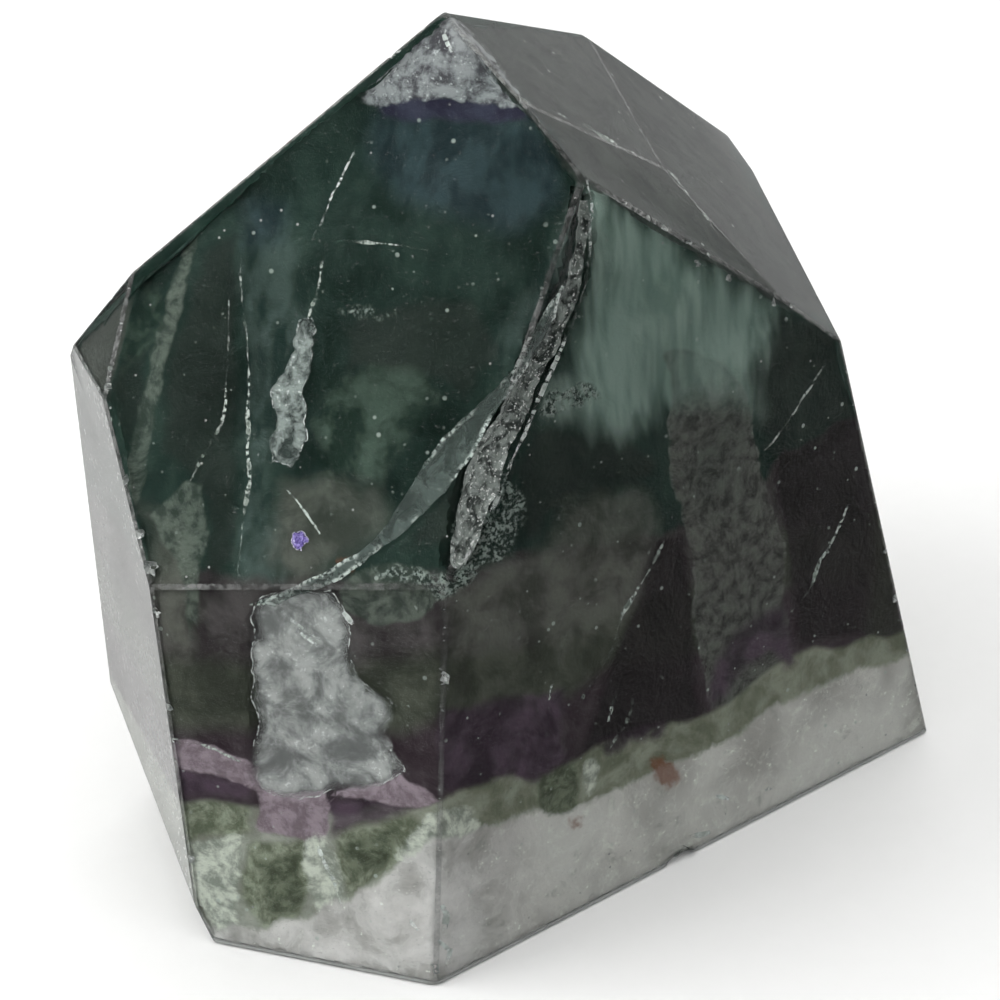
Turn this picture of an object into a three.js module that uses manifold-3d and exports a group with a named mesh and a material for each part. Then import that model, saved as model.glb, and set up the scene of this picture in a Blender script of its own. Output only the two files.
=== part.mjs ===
// A cut and polished fluorite point: one solid stone, ground to a leaning, uneven six-sided prism
// with a six-sided tip, and sawn flat across the bottom so that it stands up.
// Millimetres, +Z up. The stone stands on z = 0 with the middle of its bounding box over the origin.
import * as THREE from 'three';
import Module from 'manifold-3d';

const manifoldLibrary = await Module();
manifoldLibrary.setup();
const { Manifold } = manifoldLibrary;

// Driving dimensions. Every face is a flat that was ground onto the rough stone, and is given by where
// it looks and how deep it was ground:
//   bearing  the way that the face looks, in degrees round the stone from +X towards +Y
//   slope    how far the face looks upward, in degrees; a face that looks down has a negative slope
//   reach    the distance in millimetres from the grinding centre, on the base, out to the face
const PRISM_FACES = {
  frontRight: { bearing: -54, slope: 9.5, reach: 15.2 },
  frontLeft: { bearing: -105, slope: 13, reach: 26.7 },
  left: { bearing: -152.5, slope: 2.5, reach: 33.5 },
  backLeft: { bearing: 139.5, slope: -8, reach: 22 },
  back: { bearing: 72, slope: 1, reach: 34 },
  right: { bearing: 8.5, slope: 15.5, reach: 29.8 },
};
const TIP_FACES = {
  frontLeft: { bearing: -108, slope: 29.5, reach: 32.7 },
  left: { bearing: -148, slope: 26.5, reach: 44.5 },
  backLeft: { bearing: 135.5, slope: 37, reach: 43 },
  back: { bearing: 75, slope: 46.5, reach: 52.8 },
  rightUpper: { bearing: -1, slope: 49.4, reach: 42.05 },
  rightFront: { bearing: -4.4, slope: 47.7, reach: 41 },
  rightBack: { bearing: 1, slope: 46.4, reach: 40.7 },
};
// Small flats: a worn shoulder, the blunt tip, and the broken lower left edge and front corner.
const WORN_FACES = {
  rightShoulder: { bearing: 13.5, slope: 30.5, reach: 39.2 },
  bluntTip: { bearing: 175, slope: 62, reach: 59.3 },
  lowerLeftEdge: { bearing: -163.5, slope: -20, reach: 28.9 },
  leftShoulder: { bearing: 165, slope: 28, reach: 49 },
  frontCorner: { bearing: -80, slope: -35, reach: 19.3 },
};
// The chip knocked out of the front right edge of the base.
const CHIP = { along: 0.1, radius: 2.6, depth: 0.7, facets: 16 };
const ROUGH_SIZE = 200;

function outward({ bearing, slope }) {
  const turn = THREE.MathUtils.degToRad(bearing);
  const lift = THREE.MathUtils.degToRad(slope);
  return new THREE.Vector3(
    Math.cos(lift) * Math.cos(turn),
    Math.cos(lift) * Math.sin(turn),
    Math.sin(lift),
  );
}

// Grinds one flat: what lies beyond the face's reach goes.
function grind(stone, face) {
  const inward = outward(face).negate();
  return stone.trimByPlane([inward.x, inward.y, inward.z], -face.reach);
}

// A shell-shaped chip, as a coarse ball pressed into the edge where the front right face meets the base.
function chipOff(stone) {
  const face = PRISM_FACES.frontRight;
  const turn = THREE.MathUtils.degToRad(face.bearing);
  const edgeDistance = face.reach / Math.cos(THREE.MathUtils.degToRad(face.slope));
  const out = new THREE.Vector2(Math.cos(turn), Math.sin(turn));
  const along = new THREE.Vector2(-out.y, out.x);
  const offset = edgeDistance + (CHIP.radius - CHIP.depth) * Math.SQRT1_2;
  const centre = out.clone().multiplyScalar(offset).addScaledVector(along, CHIP.along);
  const ball = Manifold.sphere(CHIP.radius, CHIP.facets).translate([
    centre.x,
    centre.y,
    -(CHIP.radius - CHIP.depth) * Math.SQRT1_2,
  ]);
  return stone.subtract(ball);
}

function cutStone() {
  const faces = [PRISM_FACES, TIP_FACES, WORN_FACES].flatMap((group) => Object.values(group));
  const rough = Manifold.cube(ROUGH_SIZE, true).translate([0, 0, ROUGH_SIZE / 2]);
  const ground = chipOff(faces.reduce(grind, rough));
  const { min, max } = ground.boundingBox();
  return ground.translate([-(min[0] + max[0]) / 2, -(min[1] + max[1]) / 2, -min[2]]);
}

function toGeometry(solid) {
  const { vertProperties, triVerts } = solid.getMesh();
  const geometry = new THREE.BufferGeometry();
  geometry.setAttribute('position', new THREE.BufferAttribute(vertProperties, 3));
  geometry.setIndex(new THREE.BufferAttribute(triVerts, 1));
  return geometry.toNonIndexed();
}

const fluorite = new THREE.MeshStandardMaterial({ color: 0x2c4640, roughness: 0.12, metalness: 0 });
const point = new THREE.Mesh(toGeometry(cutStone()), fluorite);
point.name = 'fluorite_point';
point.geometry.computeVertexNormals();

const object = new THREE.Group();
object.add(point);

export default object;
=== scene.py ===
# A cut and polished fluorite point: a squat, leaning six-sided stone with a six-sided tip, standing on
# its sawn base. Its skin is one clear polished body. Under the skin lies a cloudy heart with the milky
# base and the coloured growth zones, and between the two are sealed the larger cracks and veils.
import math
import random

import bpy
import bmesh
import numpy as np
from mathutils import Matrix, Vector, noise
from mathutils.bvhtree import BVHTree
from mathutils.geometry import delaunay_2d_cdt


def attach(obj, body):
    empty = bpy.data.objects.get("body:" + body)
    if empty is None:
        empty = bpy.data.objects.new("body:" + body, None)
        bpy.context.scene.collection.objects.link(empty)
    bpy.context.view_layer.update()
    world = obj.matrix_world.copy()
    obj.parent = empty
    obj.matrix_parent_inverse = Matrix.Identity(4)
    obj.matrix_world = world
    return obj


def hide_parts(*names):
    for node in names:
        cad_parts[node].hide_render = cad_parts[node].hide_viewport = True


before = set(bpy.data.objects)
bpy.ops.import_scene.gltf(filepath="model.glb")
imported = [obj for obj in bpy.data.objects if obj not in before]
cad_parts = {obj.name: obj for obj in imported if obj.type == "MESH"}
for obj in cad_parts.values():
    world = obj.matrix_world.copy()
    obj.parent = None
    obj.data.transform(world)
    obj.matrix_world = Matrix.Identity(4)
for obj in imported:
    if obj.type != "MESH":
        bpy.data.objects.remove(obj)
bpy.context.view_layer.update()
MM = 0.001

# ----------------------------------------------------------------------
# Camera: it stands about 16 cm from the stone and looks 32 degrees down on the front edge, where the
# two large front faces meet. It comes first, because the seams and cracks are placed along its rays.
FRAME_SIZE = 1000
LENS, SENSOR = 75.6, 36.0
LOOK_DOWN = math.radians(32)
EYE = Vector((-2.167, -140.022, 109.036)) * MM

camera = bpy.data.objects.new("camera", bpy.data.cameras.new("camera"))
camera.data.lens = LENS
camera.data.sensor_width = SENSOR
camera.data.clip_start = 10 * MM
camera.location = EYE
camera.rotation_euler = (math.pi / 2 - LOOK_DOWN, 0, 0)
bpy.context.scene.collection.objects.link(camera)
bpy.context.scene.camera = camera

# ----------------------------------------------------------------------
# Polished stone: one piece of clear, green-black fluorite, ground to flat faces and polished by hand.
# Its edges are worn and chipped, and a long break runs down the edge between the two front tip faces.
STONE_IOR = 1.434
EDGE_WEAR = 0.22 * MM
SHARP = math.radians(20)
SHORTEST_WORN_EDGE = 1.5 * MM
LEFT_FACE_WAY = (-0.886, -0.461, 0.044)
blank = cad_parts["fluorite_point"]


def new_object(name, mesh):
    made = bpy.data.objects.new(name, mesh)
    bpy.context.scene.collection.objects.link(made)
    return made


def only(thing):
    """Selects one object and nothing else, ready for an operator."""
    bpy.ops.object.select_all(action="DESELECT")
    thing.select_set(True)
    bpy.context.view_layer.objects.active = thing
    return thing


def merged_copy(name):
    """A copy of the ground stone whose loose triangles are joined into whole flat faces."""
    made = only(new_object(name, blank.data.copy()))
    made.data.materials.clear()
    bpy.ops.object.mode_set(mode="EDIT")
    bpy.ops.mesh.select_all(action="SELECT")
    bpy.ops.mesh.remove_doubles(threshold=0.001 * MM)
    bpy.ops.mesh.dissolve_limited(angle_limit=math.radians(0.5))
    bpy.ops.mesh.normals_make_consistent(inside=False)
    bpy.ops.object.mode_set(mode="OBJECT")
    return made


def carve(stone, tool, operation, crossing=False):
    """Applies one boolean to the stone and throws the tool away. A crossing tool has parts that overlap."""
    cut = only(stone).modifiers.new("cut", "BOOLEAN")
    cut.operation = operation
    cut.solver = "EXACT"
    cut.use_self = crossing
    cut.material_mode = "TRANSFER"
    cut.object = tool
    bpy.ops.object.modifier_apply(modifier=cut.name)
    bpy.data.objects.remove(tool)


def face_finder(mesh):
    """Finds the face of a mesh that a ray meets or that a point is nearest to."""
    points = [v.co.copy() for v in mesh.vertices]
    return BVHTree.FromPolygons(points, [tuple(f.vertices) for f in mesh.polygons])


blank_tree = face_finder(blank.data)


def outer_face(u, v):
    """Where the ray of frame point (u, v) meets the stone: the ray, the place and the face's normal.
    Just off the outline, the nearest face inward is carried on."""
    focal = LENS / SENSOR * FRAME_SIZE
    middle = FRAME_SIZE / 2
    look = Vector((0, math.cos(LOOK_DOWN), -math.sin(LOOK_DOWN)))
    up = Vector((0, math.sin(LOOK_DOWN), math.cos(LOOK_DOWN)))
    ray = (look + Vector((1, 0, 0)) * ((u - middle) / focal) - up * ((v - middle) / focal)).normalized()
    place, normal, _, _ = blank_tree.ray_cast(EYE, ray)
    if place is None:
        step = (Vector((middle, middle)) - Vector((u, v))).normalized() * 2
        _, place, normal = outer_face(u + step.x, v + step.y)
        place = EYE + ray * ((place - EYE).dot(normal) / ray.dot(normal))
    return ray, place, normal


def under(u, v, depth):
    """The place, depth millimetres in under the polished face, that shows at frame point (u, v)
    through the face, so the ray is bent as fluorite bends it. A negative depth is outside."""
    ray, place, normal = outer_face(u, v)
    if depth > 0:
        squeeze = 1 / STONE_IOR
        slant = -ray.dot(normal)
        bent = math.sqrt(1 - squeeze**2 * (1 - slant**2))
        ray = ray * squeeze + normal * (squeeze * slant - bent)
    return place + ray * (depth * MM / -ray.dot(normal))


class Shade:
    """A socket of a shader node. Sums on it add Math nodes beside it."""

    def __init__(self, tree, socket=None):
        self.tree, self.socket = tree, socket

    def node(self, kind, settings=None, sockets=None, out=0):
        """Makes a node, fills its sockets with values or with other sockets, and gives its output."""
        made = self.tree.nodes.new(kind)
        for name, value in (settings or {}).items():
            setattr(made, name, value)
        for name, value in (sockets or {}).items():
            if isinstance(value, Shade):
                self.tree.links.new(value.socket, made.inputs[name])
            else:
                made.inputs[name].default_value = value
        return Shade(self.tree, made.outputs[out] if made.outputs else None)

    def sum(self, operation, *values, clamp=False):
        settings = {"operation": operation, "use_clamp": clamp}
        return self.node("ShaderNodeMath", settings, dict(enumerate(values)))

    def __add__(self, other):
        return self.sum("ADD", self, other)

    def __sub__(self, other):
        return self.sum("SUBTRACT", self, other)

    def __rsub__(self, other):
        return self.sum("SUBTRACT", other, self)

    def __mul__(self, other):
        return self.sum("MULTIPLY", self, other)

    __radd__ = __add__
    __rmul__ = __mul__

    def step(self, start, end, low=0.0, high=1.0):
        """Goes smoothly from low to high as this value goes from start to end."""
        ends = {"Value": self, "From Min": start, "From Max": end, "To Min": low, "To Max": high}
        return self.node("ShaderNodeMapRange", {"interpolation_type": "SMOOTHSTEP"}, ends)

    def most(self, other):
        return self.sum("MAXIMUM", self, other)

    def cloud(self, place, size, detail=4.0, rough=0.55, warp=0.0):
        """Noise with blobs of about size metres."""
        values = {"Vector": place, "Scale": 1 / size, "Detail": detail, "Roughness": rough}
        return self.node("ShaderNodeTexNoise", None, values | {"Distortion": warp})

    def blend(self, factor, first, second):
        """A colour between two others."""
        colours = {0: factor, 6: first, 7: second}
        return self.node("ShaderNodeMix", {"data_type": "RGBA", "clamp_factor": True}, colours, out=2)

    def place(self):
        """Where on the piece a point lies."""
        return self.node("ShaderNodeTexCoord", out="Object")

    def along(self, axis):
        return self.node("ShaderNodeSeparateXYZ", None, {"Vector": self}, out=axis)

    def stored(self, name):
        """What the mesh keeps under this name at each of its points."""
        return self.node("ShaderNodeAttribute", {"attribute_name": name}, out="Fac")

    def relief(self, strength, distance):
        """The normal of a surface that this value raises."""
        values = {"Strength": strength, "Distance": distance, "Height": self}
        return self.node("ShaderNodeBump", None, values)

    def principled(self, **looks):
        """A Principled surface; a name such as Base_Color stands for its socket."""
        named = {name.replace("_", " "): value for name, value in looks.items()}
        return self.node("ShaderNodeBsdfPrincipled", None, named)

    def show(self, surface, volume=None):
        """Ends the material with its surface, and with what fills the piece."""
        ends = {"Surface": surface} | ({"Volume": volume} if volume else {})
        self.node("ShaderNodeOutputMaterial", None, ends)


def finish(name):
    """A new, empty material, and the sheet that its nodes go on."""
    made = bpy.data.materials.new(name)
    made.use_nodes = True
    made.node_tree.nodes.clear()
    return made, Shade(made.node_tree)


def rgb(red, green, blue):
    return (red, green, blue, 1.0)


def scratches(sheet, place, turn, width, length):
    """Thin straight marks, as one stretched noise: 1 on a mark and 0 elsewhere."""
    turned = sheet.node(
        "ShaderNodeMapping",
        None,
        {"Vector": place, "Rotation": turn, "Scale": (1 / length, 1 / width, 1 / width)},
    )
    marks = sheet.node("ShaderNodeTexNoise", None, {"Vector": turned, "Scale": 1.0, "Detail": 1.0})
    return marks.step(0.70, 0.76)


def specks(sheet, place, cell, radius, share):
    """Dots about radius across in a share of the cells: 1 on a dot and 0 elsewhere."""
    cells = {"Vector": place, "Scale": 1 / cell, "Randomness": 1.0}
    near = sheet.node("ShaderNodeTexVoronoi", None, cells, out="Distance")
    pick = Shade(sheet.tree, near.socket.node.outputs["Color"])
    chosen = sheet.node("ShaderNodeSeparateColor", None, {"Color": pick})
    return near.step(radius / cell, radius / cell * 0.6) * chosen.step(1 - share, 1 - share + 0.05)


def polished_fluorite(name, worn):
    """Clear polished stone under a film of dust and fine scratches. The sawn base is dull, and the left face
    is a little rough under a pale film of painted sheen. A worn edge is frosted in places."""
    made, sheet = finish(name)
    place = sheet.place()
    slow = sheet.cloud(place, 9 * MM, 2)
    fine = sheet.cloud(place, 0.5 * MM, 2)
    lines = scratches(sheet, place, (0.3, 0.5, 0.9), 0.10 * MM, 6 * MM)
    lines = lines.most(scratches(sheet, place, (1.1, 0.2, 2.3), 0.08 * MM, 5 * MM))
    dust = specks(sheet, place, 1.3 * MM, 0.11 * MM, 0.55) * slow.step(0.42, 0.6)
    facing = sheet.node("ShaderNodeNewGeometry", out="Normal")
    sawn = facing.along("Z").step(-0.9, -0.97)
    both = {0: facing, 1: LEFT_FACE_WAY}
    toward_left = sheet.node("ShaderNodeVectorMath", {"operation": "DOT_PRODUCT"}, both, out="Value")
    # The left face is a little rough, and a pale film laid over it is painted sheen.
    satin_and_sheen = toward_left.step(0.985, 0.995) * slow.step(0.2, 0.7, 0.50, 0.62)
    unevenness = slow * 0.5 + fine * 0.03 - lines * 0.03
    clear = sheet.principled(
        Base_Color=sheet.blend(slow, rgb(0.97, 1.0, 0.98), rgb(0.93, 0.99, 0.97)),
        Roughness=fine.step(0.4, 0.8, 0.02, 0.06) + lines * 0.2 + sawn * 0.5 + satin_and_sheen * 0.4,
        IOR=STONE_IOR,
        Specular_Tint=rgb(0.12, 0.12, 0.12),
        Transmission_Weight=1.0,
        Normal=unevenness.relief(0.25, 0.25 * MM),
    )
    grey = sheet.blend(fine, rgb(0.40, 0.42, 0.40), rgb(0.72, 0.72, 0.70))
    grey = sheet.blend(satin_and_sheen, grey, rgb(0.80, 0.80, 0.79))
    film = sheet.principled(Base_Color=grey, Roughness=0.7)
    # Within 0.7 mm of the floor the stone is covered in a pale film: painted light over the dark line where
    # it meets the floor.
    foot = place.along("Z").step(0.7 * MM, 0.1 * MM)
    cover = (dust * 0.75).most(lines * 0.2).most(sawn * 0.5).most(satin_and_sheen).most(foot * 0.8)
    if worn:
        cover = cover.most(slow.step(0.3, 0.7, 0.08, 0.38) * fine.step(0.35, 0.6, 0.3, 1.0))
    dusty = sheet.node("ShaderNodeMixShader", None, {0: cover, 1: clear, 2: film})
    shadow = sheet.node("ShaderNodeLightPath", out="Is Shadow Ray")
    through = sheet.node("ShaderNodeBsdfTransparent", None, {"Color": rgb(0.93, 0.95, 0.94)})
    surface = sheet.node("ShaderNodeMixShader", None, {0: shadow, 1: dusty, 2: through})
    soaked_up = {"Color": rgb(0.12, 0.35, 0.30), "Density": 120.0}
    volume = sheet.node("ShaderNodeVolumeAbsorption", None, soaked_up)
    sheet.show(surface, volume)
    return made


def ragged(corners, sway, seed, longest=3.0):
    """An outline with its straight runs broken up until none is longer than longest: each new point
    lies off the line by a share of the run, sway at most."""
    chance = random.Random(seed)
    points = [Vector(c) for c in corners]
    breaking = True
    while breaking:
        breaking, longer = False, []
        for here, there in zip(points, points[1:] + points[:1]):
            longer.append(here)
            run = there - here
            if run.to_2d().length > longest:
                breaking = True
                longer.append((here + there) / 2 + Vector((-run.y, run.x, 0)) * chance.uniform(-sway, sway))
        points = longer
    return points


def rim_distance(points, outline):
    """How far each point lies from the outline, in frame points."""
    start = outline
    run = np.roll(outline, -1, axis=0) - start
    length_squared = np.maximum((run**2).sum(1), 1e-9)
    share = np.clip((((points[:, None] - start) * run).sum(2)) / length_squared, 0, 1)
    return np.sqrt(((points[:, None] - start - share[..., None] * run) ** 2).sum(2)).min(1)


def sealed(name, corners, thick, sway, pitch, bump, wave, seed, taper, edge=0.03, shape=None):
    """A closed flake. Its outline is drawn by (u, v, depth) corners; it is thick millimetres through
    where it lies more than taper frame points inside the outline, and edge at the outline. Its mesh has
    a point every pitch frame points. bump and wave are the height and width in millimetres of its relief,
    and shape adds to that."""
    outline = ragged(corners, sway, seed)
    line = np.array([p.to_2d() for p in outline])
    low, high = line.min(0), line.max(0)
    chance = random.Random(seed)
    grid = [
        (u + chance.uniform(-0.3, 0.3) * pitch, v + chance.uniform(-0.3, 0.3) * pitch)
        for u in np.arange(low[0], high[0], pitch)
        for v in np.arange(low[1], high[1], pitch)
    ]
    far = rim_distance(np.array(grid), line)
    points = [Vector(p) for p in line] + [Vector(p) for p, d in zip(grid, far) if d > pitch * 0.5]
    spread, _, triangles, *_ = delaunay_2d_cdt(points, [], [list(range(len(line)))], 1, 0.01)
    flat = np.array([tuple(p) for p in spread])
    inside = rim_distance(flat, line)
    # Each corner's depth pulls on the points round it, and the relief dies away toward the outline.
    knots = np.array([tuple(c) for c in corners])
    pull = 1 / (((flat[:, None] - knots[:, :2]) ** 2).sum(2) + 16) ** 1.2
    depths = (pull * knots[:, 2]).sum(1) / pull.sum(1)
    fade = np.clip(inside / taper, 0, 1)
    fronts, backs = [], []
    for (u, v), depth, share in zip(flat, depths, fade):
        level = noise.fractal(under(u, v, depth) / (wave * MM), 0.7, 2.0, 4) * bump
        if shape:
            level += shape(u, v)
        front = depth + level * (0.3 + 0.7 * share)
        fronts.append(under(u, v, front))
        backs.append(under(u, v, front + edge + thick * share))
    # A front, a back that is turned round, and a strip that closes every side that only one face has.
    count = len(flat)
    faces = [tuple(f) for f in triangles]
    sides = dict.fromkeys(pair for a, b, c in faces for pair in ((a, b), (b, c), (c, a)))
    open_sides = [(a, b) for a, b in sides if (b, a) not in sides]
    faces += [(c + count, b + count, a + count) for a, b, c in faces]
    faces += [(b, a, a + count, b + count) for a, b in open_sides]
    body = bpy.data.meshes.new(name)
    body.from_pydata(fronts + backs, [], faces)
    rim = body.attributes.new("rim", "FLOAT", "POINT")
    rim.data.foreach_set("value", np.tile(inside, 2))
    made = only(new_object(name, body))
    bpy.ops.object.mode_set(mode="EDIT")
    bpy.ops.mesh.select_all(action="SELECT")
    bpy.ops.mesh.remove_doubles(threshold=0.004 * MM)
    bpy.ops.mesh.normals_make_consistent(inside=False)
    bpy.ops.object.mode_set(mode="OBJECT")
    bpy.ops.object.shade_smooth_by_angle(angle=math.radians(50))
    return made


def broken_fluorite(name, dark, light, painted_glint):
    """Bare broken stone: lumpy, with white specks of painted glint where small cleavage faces catch the
    light.
    """
    made, sheet = finish(name)
    place = sheet.place()
    lump = sheet.cloud(place, 1.1 * MM, 5, warp=1.0)
    grain = sheet.cloud(place, 0.22 * MM, 4)
    body = sheet.blend(lump.step(0.4, 0.62), dark, light)
    body = sheet.blend(grain.step(0.56, 0.66), body, painted_glint)
    rough = grain.step(0.3, 0.7, 0.25, 0.6)
    bumps = (lump + grain * 0.5).relief(1.0, 0.2 * MM)
    sheet.show(sheet.principled(Base_Color=body, Roughness=rough, Normal=bumps))
    return made


stone = merged_copy("polished_stone")
stone.data.materials.append(polished_fluorite("polished_fluorite", worn=False))
stone.data.materials.append(polished_fluorite("worn_edge", worn=True))
edges = bmesh.new()
edges.from_mesh(stone.data)
for edge in edges.edges:
    sharp = edge.is_manifold and edge.calc_face_angle() > SHARP
    edge.select_set(sharp and edge.calc_length() > SHORTEST_WORN_EDGE)
edges.to_mesh(stone.data)
edges.free()
only(stone)
bpy.ops.object.mode_set(mode="EDIT")
bpy.ops.mesh.select_mode(type="EDGE")
bpy.ops.mesh.bevel(offset=EDGE_WEAR, segments=3, profile=0.5, clamp_overlap=False, material=1)
bpy.ops.object.mode_set(mode="OBJECT")
# The worn edges meet in a spike at the tip, which is rubbed down to the height of the ground stone.
tip_height = max(v.co.z for v in blank.data.vertices)
for vertex in stone.data.vertices:
    vertex.co.z = min(vertex.co.z, tip_height)

# The break is a long shallow scar with a rough floor. The tool that cuts it starts outside the stone.
SCAR_RISE = 1
SCAR = [
    (583, 184), (589, 210), (586, 245), (580, 288), (563, 330), (541, 376), (520, 430), (506, 459),
    (500, 490), (478, 540), (455, 574), (450, 560), (456, 520), (462, 495), (470, 462), (486, 432),
    (502, 405), (518, 378), (532, 348), (550, 316), (566, 284), (576, 240), (579, 205),
]
# The last of the scar's shades is its painted glint.
scar_shades = rgb(0.035, 0.045, 0.04), rgb(0.36, 0.40, 0.37), rgb(0.95, 0.97, 0.94)
corners = [(u, v, -SCAR_RISE) for u, v in SCAR]
scar = sealed(
    "scar", corners, thick=1.25, sway=0.08, pitch=4, bump=0.12, wave=0.9, seed=4, taper=9, edge=1.0
)
scar.data.materials.append(broken_fluorite("broken_fluorite", *scar_shades))
carve(stone, scar, "DIFFERENCE")


def lump(seed, place, size):
    """One irregular knob, as a ball pushed in and out by noise. size is its three half widths."""
    bpy.ops.object.select_all(action="DESELECT")
    bpy.ops.mesh.primitive_ico_sphere_add(subdivisions=2, radius=1)
    knob = bpy.context.object
    turn = Matrix.Rotation(seed * 1.7, 4, "X") @ Matrix.Rotation(seed * 2.3, 4, "Z")
    for vertex in knob.data.vertices:
        swell = 1 + 0.9 * noise.noise(vertex.co * 1.6 + Vector((seed, 0, 0)))
        point = turn @ (vertex.co * swell)
        vertex.co = Vector([value * half for value, half in zip(point, size)]) + place
    return knob


# Chips: small shell-shaped bites all along the worn edges, placed by chance, and a few larger ones,
# each with its size in millimetres.
SHORTEST_CHIPPED_EDGE = 2 * MM
CHIP_SIZE, CHIP_GAP = 0.17 * MM, 2.2 * MM
LARGE_CHIPS = [
    (105, 407, 0.5), (114, 446, 0.6), (122, 478, 0.5), (149, 567, 0.6), (699, 263, 0.28),
    (730, 277, 0.32), (525, 99, 0.35), (446, 678, 0.35), (775, 303, 0.25), (838, 333, 0.3),
]
chance = random.Random(11)
edges = bmesh.new()
edges.from_mesh(merged_copy("edge_finder").data)
bpy.data.objects.remove(bpy.data.objects["edge_finder"])
bites = []
for edge in sorted(edges.edges, key=lambda e: tuple(e.verts[0].co) + tuple(e.verts[1].co)):
    if edge.calc_length() < SHORTEST_CHIPPED_EDGE or edge.calc_face_angle() < SHARP:
        continue
    out = (edge.link_faces[0].normal + edge.link_faces[1].normal).normalized()
    start, end = (v.co for v in edge.verts)
    run = (end - start).length
    at = chance.uniform(0.5, 3.0) * MM
    while at < run - 0.6 * MM:
        size = CHIP_SIZE * chance.lognormvariate(0, 0.5)
        spot = start + (end - start) * (at / run) + out * size * 0.55
        bites.append(lump(len(bites), spot, (size * 1.5, size, size * 0.9)))
        at += size * 3 + chance.expovariate(1 / CHIP_GAP)
edges.free()
for n, (u, v, size) in enumerate(LARGE_CHIPS):
    spot = under(u, v, -0.3 * size)
    size *= MM
    bites.append(lump(200 + n, spot, (size, size * 0.8, size * 1.2)))
bpy.ops.object.select_all(action="DESELECT")
for bite in bites:
    bite.select_set(True)
bpy.context.view_layer.objects.active = bites[0]
bpy.ops.object.join()
# The last of the chips' shades is their painted glint.
chip_shades = rgb(0.16, 0.18, 0.17), rgb(0.45, 0.47, 0.45), rgb(0.8, 0.82, 0.8)
bites[0].data.materials.append(broken_fluorite("chipped_fluorite", *chip_shades))
carve(stone, bites[0], "DIFFERENCE", crossing=True)


def drop_crumbs(piece, least):
    """Takes away any loose crumb of fewer than least faces that the cuts left behind."""
    shell = bmesh.new()
    shell.from_mesh(piece.data)
    waiting, crumbs = set(shell.faces), []
    while waiting:
        island, front = [], [waiting.pop()]
        while front:
            face = front.pop()
            island.append(face)
            near = {other for edge in face.edges for other in edge.link_faces} & waiting
            waiting -= near
            front.extend(near)
        if len(island) < least:
            crumbs += island
    bmesh.ops.delete(shell, geom=crumbs, context="FACES")
    shell.to_mesh(piece.data)
    shell.free()


drop_crumbs(stone, least=40)
only(stone)
bpy.ops.object.shade_smooth_by_angle(angle=math.radians(12))
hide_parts("fluorite_point")
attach(stone, "root")

# ----------------------------------------------------------------------
# Cloudy heart: under the clear polished skin the stone grew in layers. The milky base is crowded with
# fine white veils. An olive layer lies on it, then a dark violet one, then the green-black upper stone.
# Healed cracks, patches of tiny bubbles and the frosted tip are sealed in the same body.
HEART_MIDDLE = Vector((0, 0, 22 * MM))
HEART_INSET = 0.16 * MM
HEART_REACH = 30 * MM
HEART_CELL = 0.5 * MM
# How deep the room for the scar and for the cloudy mass is, and the deepest cloud, all in millimetres.
SCAR_ROOM, MASS_ROOM, DEEPEST_CLOUD = 1.6, 0.7, 1.4
# A point more than FAR frame points outside a patch is only told that it is FAR outside. A face that the
# camera sees less squarely than EDGE_ON counts as hidden, and carries no patches.
FAR = 40.0
EDGE_ON = 0.02


def seen_at(places):
    """The frame point at which each place under the polished faces shows, and how squarely it is seen."""
    near = [blank_tree.find_nearest(Vector(p)) for p in places]
    skin = np.array([tuple(n[0]) for n in near])
    normal = np.array([tuple(n[1]) for n in near])
    depth = ((skin - places) * normal).sum(1)
    spot = places + normal * depth[:, None]
    # The spot on the skin is moved until the ray that is bent there runs through the place.
    for _ in range(5):
        ray = spot - np.array(EYE)
        ray /= np.linalg.norm(ray, axis=1)[:, None]
        slant = -(ray * normal).sum(1)
        bent = np.sqrt(1 - (1 - slant**2) / STONE_IOR**2)
        inner = ray / STONE_IOR + normal * (slant / STONE_IOR - bent)[:, None]
        spot += places - spot - inner * (depth / bent)[:, None]
    # The skin is seen where the line from the eye to the spot crosses the frame.
    gaze = spot - np.array(EYE)
    far = gaze @ np.array((0, math.cos(LOOK_DOWN), -math.sin(LOOK_DOWN)))
    high = gaze @ np.array((0, math.sin(LOOK_DOWN), math.cos(LOOK_DOWN)))
    focal = LENS / SENSOR * FRAME_SIZE
    along, up = FRAME_SIZE / 2 + focal * gaze[:, 0] / far, FRAME_SIZE / 2 - focal * high / far
    return np.stack([along, up], 1), slant


def heights(places, sights, behind):
    """How far each place lies above a growth surface, in millimetres. The surface is drawn through marks
    that show on the front faces, and through guessed marks behind."""
    in_front = [tuple(under(u, v, 0.3)) for u, v in sights]
    marks = np.array(in_front + [tuple(Vector(p) * MM) for p in behind])
    gap = ((places[:, None, :2] - marks[None, :, :2]) ** 2).sum(2)
    pull = 1 / (gap + (0.8 * MM) ** 2) ** 1.5
    return (places[:, 2] - (pull * marks[:, 2]).sum(1) / pull.sum(1)) / MM


def inside_by(points, outline):
    """How far each frame point lies inside an outline. Outside it the number is negative, and no lower
    than -FAR."""
    result = np.full(len(points), -FAR)
    line = np.array([tuple(p[:2]) for p in outline], float)
    close = ((points > line.min(0) - FAR) & (points < line.max(0) + FAR)).all(1)
    some = points[close]
    crossings = np.zeros(len(some), int)
    for (u, v), (next_u, next_v) in zip(line, np.roll(line, -1, axis=0)):
        spans = (v > some[:, 1]) != (next_v > some[:, 1])
        slope = (next_u - u) / (next_v - v) if next_v != v else 0.0
        crossings += spans & (some[:, 0] < u + (some[:, 1] - v) * slope)
    far = rim_distance(some, line)
    result[close] = np.where(crossings % 2 == 1, far, -far)
    return result


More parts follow.
